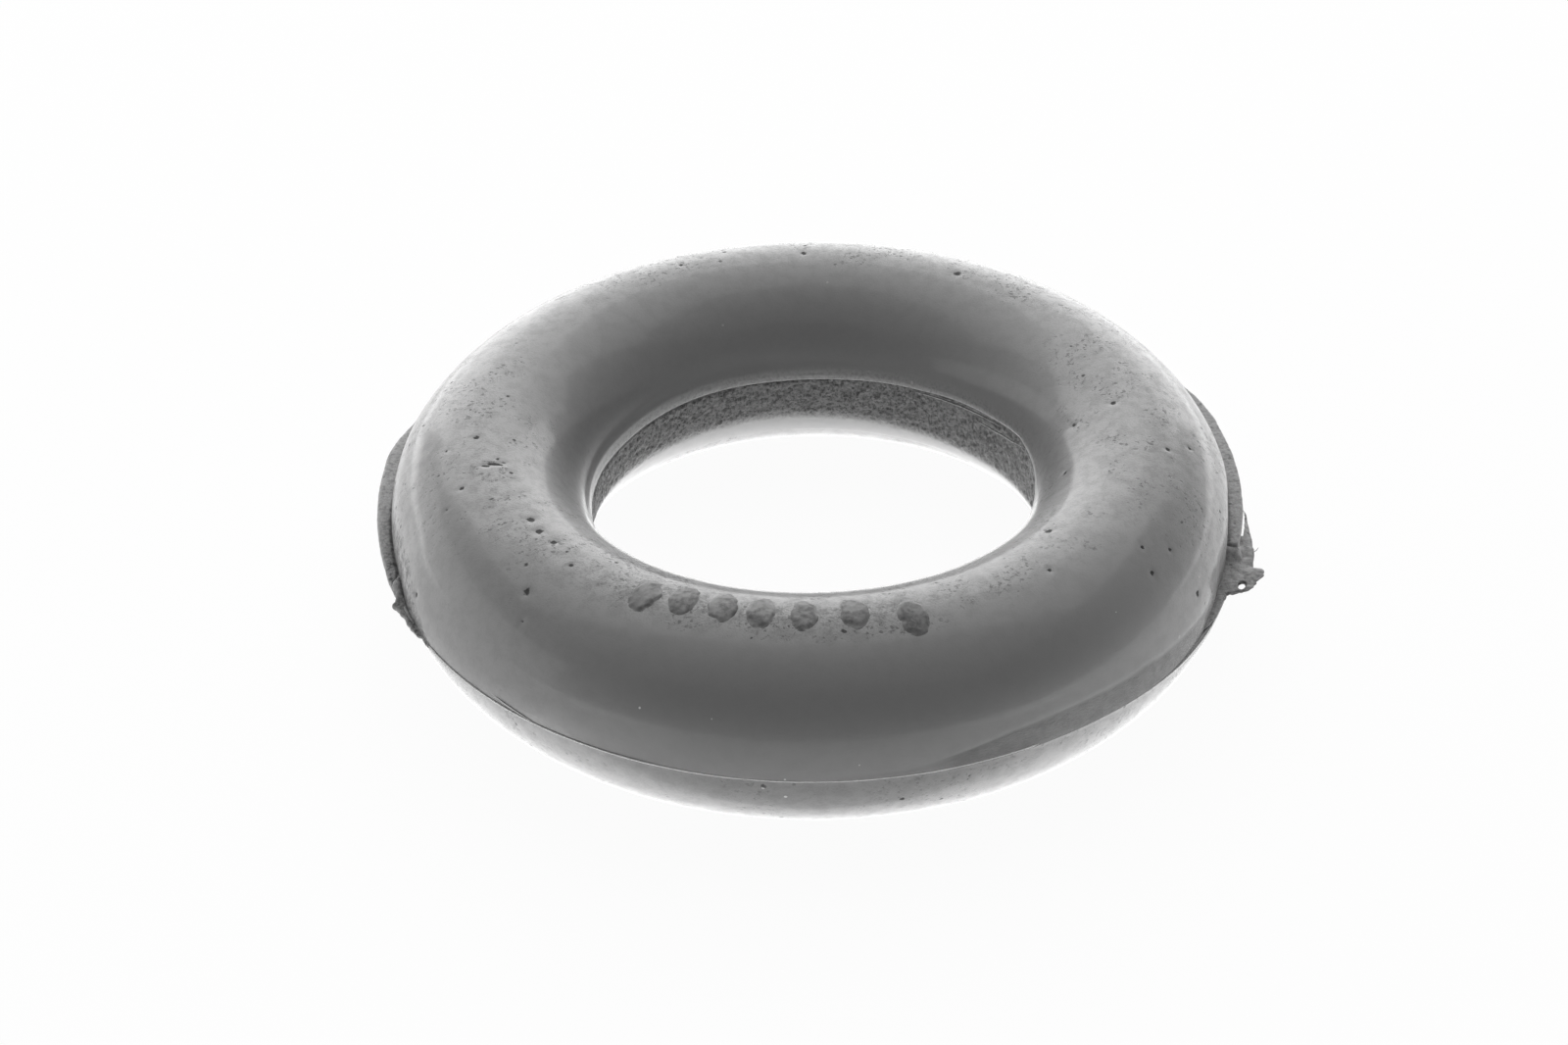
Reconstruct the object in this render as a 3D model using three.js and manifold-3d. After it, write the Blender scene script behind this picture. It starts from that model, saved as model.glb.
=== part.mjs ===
// Exhaust hanger rubber: one moulded rubber ring with its parting line, trimmed lands and flash.
// Millimetres. +Z is the ring's axis, the origin is the ring's centre at mid-height,
// +X is the side with the torn flash tag and -Y is the side with the raised pads.

import * as THREE from 'three';
import { mergeVertices } from 'three/addons/utils/BufferGeometryUtils.js';
import Module from 'manifold-3d';

// Ring
const RING_OUTER_DIAMETER = 62.0;
const RING_BORE_DIAMETER = 32.33;
const RING_THICKNESS = 15.83;
// Power of the section's superellipse: 2 is an ellipse.
const SECTION_POWER = 1.94;

// Mould: the halves part a little below mid-height and the lower one sits a little off centre
const PARTING_DROP = 0.5;
const MOULD_SHIFT = 0.344;

// Bore land, where the membrane across the bore was torn out
const BORE_LAND_DEPTH = 0.42;
const BORE_LAND_OFFSET = 0.58;
const BORE_LAND_TOP = 0.9;
const BORE_LAND_TILT_DEGREES = 2.6;

// Rolled lip above the bore land, on the -X side
const LIP_RADIUS = 0.36;
const LIP_HEIGHT = 1.0;
const LIP_FROM_DEGREES = 96;
const LIP_TO_DEGREES = 206;

// Trimmed land above the parting line, on the outside
const TRIM_DEPTH = 0.12;
const TRIM_MIDDLE_DEGREES = -55;
const TRIM_HALF_ANGLE_DEGREES = 20;
const TRIM_CUT_HEIGHT = 3.0;

// Flash bead round the far side
const FLASH_THICKNESS = 1.1;
const FLASH_EDGE_ROUND = 0.25;
const FLASH_ROOT_DEPTH = 1.6;
// Angle round the ring in degrees, and how far the bead reaches out past the ring
const FLASH_REACH = [
  [-8.7, 0.05],
  [-7.4, 0.45],
  [-0.8, 0.95],
  [5.1, 1.25],
  [9.9, 1.5],
  [18.7, 2.05],
  [25.9, 2.45],
  [45, 2.4],
  [65, 2.25],
  [90, 2.15],
  [115, 2.25],
  [140, 2.1],
  [159, 1.8],
  [169, 1.6],
  [176, 1.1],
  [182, 0.8],
  [187, 0.56],
  [192, 0.3],
  [196.5, 0.12],
];

// Torn end of the bead on the -X side
const TEAR_THICKNESS = 0.8;
const TEAR_REACH = [
  [195.0, 0.1],
  [197.6, -0.1],
  [198.6, 0.25],
  [200.4, 0.6],
  [201.2, 0.22],
  [203.2, 0.12],
  [205.4, 0.3],
  [207.6, 0.02],
];

// Thin torn sheet and tag on the +X side
const SHEET_THICKNESS = 0.5;
const SHEET_DROP = 0.9;
const SHEET_REACH = [
  [-26, 0.2],
  [-24.6, 0.4],
  [-22, 0.3],
  [-19.5, 0.42],
  [-18.8, 0.62],
  [-19.1, 0.9],
  [-19.3, 1.42],
  [-18.1, 1.9],
  [-16.7, 2.05],
  [-14.9, 2.45],
  [-13.6, 2.4],
  [-12.6, 1.67],
  [-7.2, 1.43],
  [-4, 1.18],
  [-0.2, 1.07],
  [2.6, 1.1],
];
const TAG_HOLE_DEGREES = -17.35;
const TAG_HOLE_REACH = 1.2;
const TAG_HOLE_LENGTH = 0.6;
const TAG_HOLE_WIDTH = 0.5;

// Raised pads along the crown
const PAD_COUNT = 7;
const PAD_FIRST_DEGREES = -117;
const PAD_LAST_DEGREES = -74;
const PAD_WIDTH = 1.9;
const PAD_LENGTH = 2.6;
const PAD_HEIGHT = 0.32;
const PAD_SINK = 0.6;
const PAD_TAPER = 0.84;

// How finely the rounds are divided
const ROUND_SEGMENTS = 108;
const HALF_SECTION_SEGMENTS = 13;

const SECTION_HALF_WIDTH = (RING_OUTER_DIAMETER - RING_BORE_DIAMETER) / 4;
const SECTION_HALF_HEIGHT = RING_THICKNESS / 2;
const OUTER_RADIUS = RING_OUTER_DIAMETER / 2;
const BORE_RADIUS = RING_BORE_DIAMETER / 2;
const CENTRE_RADIUS = (OUTER_RADIUS + BORE_RADIUS) / 2;
const PARTING_Z = -PARTING_DROP;

const wasm = await Module();
wasm.setup();

const radians = THREE.MathUtils.degToRad;

const rubber = new THREE.MeshStandardMaterial({
  name: 'rubber',
  color: 0x2b2b2c,
  roughness: 0.6,
  metalness: 0,
});

/** A manifold solid from a closed geometry. */
function solidOf(geometry) {
  const bare = geometry.clone();
  bare.deleteAttribute('normal');
  bare.deleteAttribute('uv');
  const merged = mergeVertices(bare, 1e-4);
  const mesh = new wasm.Mesh({
    numProp: 3,
    vertProperties: Float32Array.from(merged.attributes.position.array),
    triVerts: Uint32Array.from(merged.index.array),
  });
  return new wasm.Manifold(mesh);
}

/** The three.js geometry of a manifold solid. */
function geometryOf(solid) {
  const mesh = solid.getMesh();
  const geometry = new THREE.BufferGeometry();
  geometry.setAttribute('position', new THREE.BufferAttribute(mesh.vertProperties, 3));
  geometry.setIndex(new THREE.BufferAttribute(mesh.triVerts, 1));
  geometry.computeVertexNormals();
  return geometry;
}

/** A point of the section's superellipse at an angle, as radius and height. */
function sectionPoint(angle) {
  const across = Math.cos(angle);
  const up = Math.sin(angle);
  const power = 2 / SECTION_POWER;
  return new THREE.Vector2(
    CENTRE_RADIUS + SECTION_HALF_WIDTH * Math.sign(across) * Math.abs(across) ** power,
    SECTION_HALF_HEIGHT * Math.sign(up) * Math.abs(up) ** power,
  );
}

/** The section's angle at a height, on the outer side. */
function sectionAngleAt(height) {
  const share = Math.abs(height) / SECTION_HALF_HEIGHT;
  return Math.sign(height) * Math.asin(share ** (SECTION_POWER / 2));
}

/** Half of the ring, above or below the parting plane. */
function mouldHalf(above) {
  const outer = sectionAngleAt(PARTING_Z);
  const inner = Math.PI - outer;
  const start = above ? outer : inner;
  const end = above ? inner : outer + 2 * Math.PI;
  const profile = [];
  for (let i = 0; i <= HALF_SECTION_SEGMENTS; i += 1) {
    const angle = start + ((end - start) * i) / HALF_SECTION_SEGMENTS;
    profile.push(sectionPoint(angle));
  }
  profile[0].y = PARTING_Z;
  profile[HALF_SECTION_SEGMENTS].y = PARTING_Z;
  profile.push(profile[0].clone());
  return new THREE.LatheGeometry(profile, ROUND_SEGMENTS).rotateX(Math.PI / 2);
}

/** A point of the ring's plane from an angle in degrees and a radius. */
function planePoint(degrees, radius) {
  const angle = radians(degrees);
  return new THREE.Vector2(radius * Math.cos(angle), radius * Math.sin(angle));
}

/** The flat outline of flash that reaches out from the ring by the listed amounts. */
function flashShape(reaches, inset, step) {
  const first = reaches[0][0];
  const last = reaches[reaches.length - 1][0];
  const steps = Math.max(2, Math.round(Math.abs(last - first) / step));
  const outline = reaches.map(([degrees, reach]) => planePoint(degrees, OUTER_RADIUS + reach - inset));
  for (let i = 0; i <= steps; i += 1) {
    const degrees = last + ((first - last) * i) / steps;
    outline.push(planePoint(degrees, OUTER_RADIUS - FLASH_ROOT_DEPTH));
  }
  return new THREE.Shape(outline);
}

/** The reaches of a smooth flash edge through the listed ones. */
function smoothReaches(reaches, divisions) {
  const curve = new THREE.SplineCurve(reaches.map(([degrees, reach]) => new THREE.Vector2(degrees, reach)));
  return curve.getPoints(divisions).map((point) => [point.x, point.y]);
}

/** The bead of flash that was left round the far side. */
function flashBead() {
  const shape = flashShape(smoothReaches(FLASH_REACH, 54), FLASH_EDGE_ROUND, 6);
  const geometry = new THREE.ExtrudeGeometry(shape, {
    depth: FLASH_THICKNESS - 2 * FLASH_EDGE_ROUND,
    bevelEnabled: true,
    bevelThickness: FLASH_EDGE_ROUND,
    bevelSize: FLASH_EDGE_ROUND,
    bevelSegments: 2,
    steps: 1,
  });
  return geometry.translate(0, 0, PARTING_Z - FLASH_THICKNESS / 2 + FLASH_EDGE_ROUND);
}

/** The ragged end that the bead was torn off to. */
function tornEnd() {
  const geometry = new THREE.ExtrudeGeometry(flashShape(TEAR_REACH, 0, 4), {
    depth: TEAR_THICKNESS,
    bevelEnabled: false,
  });
  return geometry.translate(0, 0, PARTING_Z - TEAR_THICKNESS / 2);
}

/** The thin torn sheet under the bead's end, with its tag and the hole through it. */
function tornSheet() {
  const shape = flashShape(SHEET_REACH, 0, 4);
  const centre = planePoint(TAG_HOLE_DEGREES, OUTER_RADIUS + TAG_HOLE_REACH);
  const hole = new THREE.Path();
  hole.absellipse(
    centre.x,
    centre.y,
    TAG_HOLE_WIDTH / 2,
    TAG_HOLE_LENGTH / 2,
    0,
    2 * Math.PI,
    true,
    radians(TAG_HOLE_DEGREES),
  );
  shape.holes.push(hole);
  const geometry = new THREE.ExtrudeGeometry(shape, {
    depth: SHEET_THICKNESS,
    bevelEnabled: false,
    curveSegments: 5,
  });
  return geometry.translate(0, 0, PARTING_Z - SHEET_DROP);
}

/** The short cylinder that the land in the bore follows. */
function boreLand() {
  const radius = BORE_RADIUS + BORE_LAND_DEPTH;
  const height = SECTION_HALF_HEIGHT;
  const geometry = new THREE.CylinderGeometry(radius, radius, height, ROUND_SEGMENTS);
  geometry.rotateX(Math.PI / 2);
  geometry.translate(0, 0, -height / 2);
  geometry.rotateY(-radians(BORE_LAND_TILT_DEGREES));
  return geometry.translate(BORE_LAND_OFFSET, 0, BORE_LAND_TOP);
}

/** What was trimmed away outside the land above the parting line. */
function trimmedAway() {
  const half = radians(TRIM_HALF_ANGLE_DEGREES);
  const offset = TRIM_DEPTH / (1 - Math.cos(half));
  const radius = OUTER_RADIUS - TRIM_DEPTH + offset;
  const profile = [
    new THREE.Vector2(radius, 0),
    new THREE.Vector2(radius + 4, 0),
    new THREE.Vector2(radius + 4, TRIM_CUT_HEIGHT),
    new THREE.Vector2(radius, TRIM_CUT_HEIGHT),
    new THREE.Vector2(radius, 0),
  ];
  const away = planePoint(TRIM_MIDDLE_DEGREES, -offset);
  const geometry = new THREE.LatheGeometry(profile, ROUND_SEGMENTS).rotateX(Math.PI / 2);
  return geometry.translate(away.x, away.y, PARTING_Z);
}

/** The rolled lip above the bore land, whose ends run out inside the ring. */
function boreLip() {
  const points = [];
  const count = 9;
  for (let i = 0; i <= count; i += 1) {
    const share = i / count;
    const degrees = LIP_FROM_DEGREES + (LIP_TO_DEGREES - LIP_FROM_DEGREES) * share;
    const buried = i === 0 || i === count ? 2.5 * LIP_RADIUS : 0.35 * LIP_RADIUS;
    const flat = planePoint(degrees, BORE_RADIUS + buried);
    points.push(new THREE.Vector3(flat.x, flat.y, LIP_HEIGHT));
  }
  const circle = new THREE.Shape();
  circle.absarc(0, 0, LIP_RADIUS, 0, 2 * Math.PI, false);
  return new THREE.ExtrudeGeometry(circle, {
    steps: 40,
    curveSegments: 8,
    bevelEnabled: false,
    extrudePath: new THREE.CatmullRomCurve3(points),
  });
}

/** One raised pad on the crown. */
function crownPad(degrees) {
  const height = PAD_HEIGHT + PAD_SINK;
  const geometry = new THREE.CylinderGeometry(PAD_TAPER / 2, 0.5, height, 14);
  geometry.rotateX(Math.PI / 2);
  geometry.scale(PAD_LENGTH, PAD_WIDTH, 1);
  geometry.translate(CENTRE_RADIUS, 0, SECTION_HALF_HEIGHT + PAD_HEIGHT - height / 2);
  return geometry.rotateZ(radians(degrees));
}

let ring = solidOf(mouldHalf(true));
const lowerHalf = mouldHalf(false).translate(MOULD_SHIFT, 0, 0);
ring = ring.add(solidOf(lowerHalf));
ring = ring.subtract(solidOf(trimmedAway()));
ring = ring.subtract(solidOf(boreLand()));
ring = ring.add(solidOf(boreLip()));
ring = ring.add(solidOf(flashBead()));
ring = ring.add(solidOf(tornEnd()));
ring = ring.add(solidOf(tornSheet()));
for (let i = 0; i < PAD_COUNT; i += 1) {
  const share = i / (PAD_COUNT - 1);
  const degrees = PAD_FIRST_DEGREES + (PAD_LAST_DEGREES - PAD_FIRST_DEGREES) * share;
  ring = ring.add(solidOf(crownPad(degrees)));
}

const hangerRing = new THREE.Mesh(geometryOf(ring), rubber);
hangerRing.name = 'hanger_ring';

const part = new THREE.Group();
part.name = 'exhaust_hanger_rubber';
part.add(hangerRing);

export default part;
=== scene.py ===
"""Looks of an exhaust hanger rubber: one moulded ring with trimmed lands, torn flash and raised pads.

Sizes in the fields are in millimetres and degrees, and meshes are made in metres. The ring lies flat,
+Z is its axis, +X is the side with the torn tag and -Y is the side with the raised pads.
"""

from __future__ import annotations

import itertools
import logging
import math
from dataclasses import dataclass, field
from enum import Enum

import bpy
import numpy as np
from mathutils import Matrix, Vector


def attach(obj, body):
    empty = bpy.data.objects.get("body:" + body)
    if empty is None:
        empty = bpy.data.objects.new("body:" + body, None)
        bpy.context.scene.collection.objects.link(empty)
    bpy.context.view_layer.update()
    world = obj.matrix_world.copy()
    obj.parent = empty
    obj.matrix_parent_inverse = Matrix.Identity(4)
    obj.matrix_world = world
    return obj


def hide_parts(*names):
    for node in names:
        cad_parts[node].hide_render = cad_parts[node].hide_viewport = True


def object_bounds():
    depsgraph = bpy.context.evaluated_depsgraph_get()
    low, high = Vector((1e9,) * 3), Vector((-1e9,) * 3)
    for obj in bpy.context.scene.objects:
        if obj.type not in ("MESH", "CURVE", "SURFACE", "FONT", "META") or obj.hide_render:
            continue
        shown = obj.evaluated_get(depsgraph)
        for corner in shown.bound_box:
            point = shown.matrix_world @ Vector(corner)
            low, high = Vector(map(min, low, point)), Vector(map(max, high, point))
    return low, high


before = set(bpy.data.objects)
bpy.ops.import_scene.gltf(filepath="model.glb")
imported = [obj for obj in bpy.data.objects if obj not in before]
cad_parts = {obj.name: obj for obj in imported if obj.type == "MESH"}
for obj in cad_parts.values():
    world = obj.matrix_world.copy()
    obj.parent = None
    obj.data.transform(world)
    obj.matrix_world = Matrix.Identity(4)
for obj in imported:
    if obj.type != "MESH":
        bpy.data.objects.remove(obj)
CAD_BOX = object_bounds()

LOG = logging.getLogger("hanger")
MM = 0.001
BODY = "root"
NODE = "hanger_ring"

Stops = tuple[tuple[float, float], ...]


def eased(values: np.ndarray, low: float, high: float) -> np.ndarray:
    """Rise smoothly from 0 to 1 between two limits.

    Args:
        values: what is compared with the limits.
        low: where the rise starts.
        high: where the rise ends.

    Returns:
        The eased values, from 0 to 1.
    """
    share = np.clip((values - low) / (high - low), 0.0, 1.0)
    return share * share * (3.0 - 2.0 * share)


def around(degrees: np.ndarray, stops: Stops) -> np.ndarray:
    """Read a value that changes round the ring.

    Args:
        degrees: angles round the ring.
        stops: pairs of angle and value.

    Returns:
        The value at each angle, joined end to end round the circle.
    """
    angles, values = zip(*stops)
    return np.interp(degrees, angles, values, period=360.0)


def between(positions: np.ndarray, stops: Stops) -> np.ndarray:
    """Read a value that changes along a stretch.

    Args:
        positions: places along the stretch.
        stops: pairs of place and value, in rising order.

    Returns:
        The value at each place, held at the ends.
    """
    places, values = zip(*stops)
    return np.interp(positions, places, values)


@dataclass(frozen=True)
class Lumps:
    """Smooth random bumps, the same at every run."""

    seed: int

    def _corner(self, cell: np.ndarray) -> np.ndarray:
        """Give each lattice corner a number from -1 to 1.

        Args:
            cell: whole numbers, three to a corner.

        Returns:
            The numbers, the same for the same corner.
        """
        mixed = cell[..., 0] * 73856093 ^ cell[..., 1] * 19349663 ^ cell[..., 2] * 83492791
        mixed = (mixed ^ self.seed * 2654435761) & 0xFFFFFFFF
        mixed = ((mixed ^ mixed >> 13) * 1274126177) & 0xFFFFFFFF
        mixed = ((mixed ^ mixed >> 16) * 2246822519) & 0xFFFFFFFF
        return ((mixed ^ mixed >> 15) & 0xFFFF) / 32767.5 - 1.0

    def at(self, points: np.ndarray, size: float) -> np.ndarray:
        """Read the bumps.

        Args:
            points: places, with x, y and z last.
            size: width of one bump, in the points' unit.

        Returns:
            A value from -1 to 1 at each place.
        """
        scaled = points / size
        cell = np.floor(scaled).astype(np.int64)
        part = scaled - cell
        part = part * part * (3.0 - 2.0 * part)
        total = np.zeros(points.shape[:-1])
        for corner in itertools.product((0, 1), repeat=3):
            weight = np.ones(points.shape[:-1])
            for axis, side in enumerate(corner):
                weight = weight * (part[..., axis] if side else 1.0 - part[..., axis])
            total += weight * self._corner(cell + np.array(corner))
        return total

    def rough(self, points: np.ndarray, size: float, octaves: int) -> np.ndarray:
        """Add finer bumps to coarse ones.

        Args:
            points: places, with x, y and z last.
            size: width of the coarsest bump.
            octaves: how many halvings are added up.

        Returns:
            A value of about -1 to 1 at each place.
        """
        total = np.zeros(points.shape[:-1])
        reach = 0.0
        for step in range(octaves):
            total += self.at(points + 7.3 * step, size / 2**step) / 1.8**step
            reach += 1.0 / 1.8**step
        return total / reach


def placed(name: str, data: bpy.types.ID) -> bpy.types.Object:
    """Make an object and put it into the scene.

    Args:
        name: the object's name.
        data: its mesh, lamp or camera.

    Returns:
        The new object.
    """
    made = bpy.data.objects.new(name, data)
    bpy.context.scene.collection.objects.link(made)
    return made


def grid_object(
    name: str,
    points: np.ndarray,
    capped: bool = False,
    hidden: np.ndarray | None = None,
    marks: dict[str, np.ndarray] | None = None,
) -> bpy.types.Object:
    """Make a mesh object from a grid of points whose last column meets its first.

    Args:
        name: the object's name.
        points: rows by columns of x, y, z in millimetres.
        capped: whether a face closes the first and the last row.
        hidden: true for each cell that is left open.
        marks: named values at the points, for the materials.

    Returns:
        The new object, smooth shaded.
    """
    rows, columns = points.shape[:2]
    index = np.arange(rows * columns).reshape(rows, columns)
    first, below = index[:-1], index[1:]
    quads = np.stack((first, np.roll(first, -1, 1), np.roll(below, -1, 1), below), -1)
    quads = quads.reshape(-1, 4) if hidden is None else quads[~hidden]
    faces = quads.tolist()
    if capped:
        faces.append(index[0, ::-1].tolist())
        faces.append(index[-1].tolist())
    mesh = bpy.data.meshes.new(name)
    mesh.from_pydata((points.reshape(-1, 3) * MM).tolist(), [], faces)
    for label, values in (marks or {}).items():
        layer = mesh.attributes.new(label, "FLOAT", "POINT")
        layer.data.foreach_set("value", values.astype(np.float32).ravel())
    mesh.polygons.foreach_set("use_smooth", [True] * len(mesh.polygons))
    mesh.update()
    return placed(name, mesh)


def joined(parts: list[bpy.types.Object], name: str) -> bpy.types.Object:
    """Join mesh objects into the first of them and name it.

    Args:
        parts: the mesh objects.
        name: the name of the whole.

    Returns:
        The joined object.
    """
    piece = parts[0]
    with bpy.context.temp_override(
        active_object=piece, object=piece, selected_objects=parts, selected_editable_objects=parts
    ):
        bpy.ops.object.join()
    piece.name = name
    return piece


def seat(piece: bpy.types.Object, material: bpy.types.Material) -> bpy.types.Object:
    """Dress a piece and let it ride on the ring's body.

    Args:
        piece: the finished mesh object.
        material: the finish that it takes.

    Returns:
        The same object.
    """
    piece.data.materials.append(material)
    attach(piece, BODY)
    LOG.info("%s: %d faces", piece.name, len(piece.data.polygons))
    return piece


class Signal:
    """A value in a material, on which Python's operators add Math nodes."""

    def __init__(self, graph: Graph, socket: bpy.types.NodeSocket) -> None:
        """Keep the node tree and the socket."""
        self.graph = graph
        self.socket = socket

    def _math(self, operation: str, *values: Signal | float) -> Signal:
        """Add one Math node and return its result."""
        return self.graph.node("ShaderNodeMath", {"operation": operation}, list(values)).out()

    def __add__(self, other: Signal | float) -> Signal:
        """Add."""
        return self._math("ADD", self, other)

    __radd__ = __add__

    def __sub__(self, other: Signal | float) -> Signal:
        """Subtract."""
        return self._math("SUBTRACT", self, other)

    def __rsub__(self, other: float) -> Signal:
        """Subtract from a number."""
        return self._math("SUBTRACT", other, self)

    def __mul__(self, other: Signal | float) -> Signal:
        """Multiply."""
        return self._math("MULTIPLY", self, other)

    __rmul__ = __mul__

    def larger(self, other: Signal | float) -> Signal:
        """Take the larger of two values."""
        return self._math("MAXIMUM", self, other)

    def above(self, low: float, high: float) -> Signal:
        """Rise smoothly from 0 at one limit to 1 at the other.

        Args:
            low: where the rise starts.
            high: where it ends; below low, the mask falls instead.

        Returns:
            The mask.
        """
        node = self.graph.node(
            "ShaderNodeMapRange",
            {"interpolation_type": "SMOOTHSTEP"},
            {"Value": self, "From Min": low, "From Max": high, "To Min": 0.0, "To Max": 1.0},
        )
        return node.out("Result")


class Made:
    """A node that has been added, with its outputs at hand."""

    def __init__(self, graph: Graph, node: bpy.types.Node) -> None:
        """Keep the node tree and the node."""
        self.graph = graph
        self.node = node

    def out(self, name: str | int = 0) -> Signal:
        """Return one output by name or place."""
        return Signal(self.graph, self.node.outputs[name])


class Graph:
    """The node tree of one material or of the world."""

    def __init__(self, tree: bpy.types.NodeTree) -> None:
        """Empty the tree."""
        tree.nodes.clear()
        self.tree = tree

    def node(
        self,
        kind: str,
        settings: dict[str, object] | None = None,
        values: dict[str, object] | list[object] | None = None,
    ) -> Made:
        """Add a node of any kind.

        Args:
            kind: Blender's name of the node type.
            settings: properties, which are set first.
            values: numbers or links for the inputs, by name or in order.

        Returns:
            The added node.
        """
        added = self.tree.nodes.new(kind)
        for name, value in (settings or {}).items():
            setattr(added, name, value)
        pairs = values.items() if isinstance(values, dict) else enumerate(values or [])
        for name, value in pairs:
            socket = added.inputs[name]
            if isinstance(value, Signal):
                self.tree.links.new(value.socket, socket)
            else:
                socket.default_value = value
        return Made(self, added)

    def place(self) -> Signal:
        """Return the place on the object, in metres."""
        return self.node("ShaderNodeTexCoord").out("Object")

    def mark(self, name: str) -> Signal:
        """Return a named value of the mesh."""
        return self.node("ShaderNodeAttribute", {"attribute_name": name}).out("Fac")

    def vector(self, operation: str, *values: object) -> Made:
        """Add a Vector Math node."""
        return self.node("ShaderNodeVectorMath", {"operation": operation}, list(values))

    def noise(self, place: Signal, size_mm: float, detail: float = 2.0, rough: float = 0.5) -> Signal:
        """Add a noise texture.

        Args:
            place: where it is read.
            size_mm: width of one blotch.
            detail: how many finer layers it has.
            rough: how strong those layers are.

        Returns:
            Its value, about 0.5 on average.
        """
        values = {"Vector": place, "Scale": 1.0 / (size_mm * MM), "Detail": detail, "Roughness": rough}
        return self.node("ShaderNodeTexNoise", {}, values).out(0)

    def stretched(self, place: Signal, scale: tuple[float, float, float]) -> Signal:
        """Scale a place along each axis."""
        return self.vector("MULTIPLY", place, scale).out()

    def dots(self, place: Signal, pitch_mm: float, radius: float, share: float, edge: float = 0.06) -> Signal:
        """Scatter round dots, one in some of the cells.

        Args:
            place: where they are read.
            pitch_mm: width of one cell.
            radius: the dots' radius, as a share of the cell.
            share: how many of the cells hold one.
            edge: softness of a dot's rim, as a share of the cell.

        Returns:
            A mask that is 1 in the dots.
        """
        cells = self.node("ShaderNodeTexVoronoi", {}, {"Vector": place, "Scale": 1.0 / (pitch_mm * MM)})
        parts = self.node("ShaderNodeSeparateColor", {}, [cells.out("Color")])
        chosen = parts.out(0).above(1.0 - share, 1.0 - share + 0.01)
        reach = parts.out(1) * (radius * 0.75) + radius * 0.25
        return (reach - cells.out("Distance")).above(0.0, edge) * chosen

    def grey(self, value: Signal) -> Signal:
        """Turn a value into a neutral colour."""
        return self.node("ShaderNodeCombineColor", {}, [value, value, value]).out()

    def bump(self, height: Signal, depth_mm: float, normal: Signal | None = None) -> Signal:
        """Add a Bump node.

        Args:
            height: the relief, where 1 is the full depth.
            depth_mm: the full depth.
            normal: relief that it lies on.

        Returns:
            The bumped normal.
        """
        values: dict[str, object] = {"Height": height, "Distance": depth_mm * MM, "Strength": 1.0}
        if normal is not None:
            values["Normal"] = normal
        return self.node("ShaderNodeBump", {}, values).out()

    def shader(self, **values: object) -> Signal:
        """Add a shader; names use underscores for spaces."""
        named = {name.replace("_", " "): value for name, value in values.items()}
        return self.node("ShaderNodeBsdfPrincipled", {}, named).out()

    def output(self, skin: Signal, share: Signal, normal: Signal) -> None:
        """Add the output, where a share of the skin looks like a dull and nearly black pit.

        Args:
            skin: the shader between the pits.
            share: how much of a pit shows, from 0 to 1.
            normal: the relief of the pits.
        """
        black = (0.01, 0.01, 0.01, 1.0)
        pit = self.shader(Base_Color=black, Roughness=0.85, Specular_IOR_Level=0.12, Normal=normal)
        both = self.node("ShaderNodeMixShader", {}, [share, skin, pit])
        self.node("ShaderNodeOutputMaterial", {}, [both.out()])


def new_material(name: str) -> tuple[bpy.types.Material, Graph]:
    """Start a material.

    Args:
        name: the material's name.

    Returns:
        The material and its emptied node tree.
    """
    made = bpy.data.materials.new(name)
    made.use_nodes = True
    return made, Graph(made.node_tree)


@dataclass(frozen=True)
class Blemish:
    """A dark dent in the skin, as an ellipsoid round a point."""

    centre: tuple[float, float, float]
    radius: float
    stretch: tuple[float, float, float] = (1.0, 1.0, 1.0)


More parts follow.
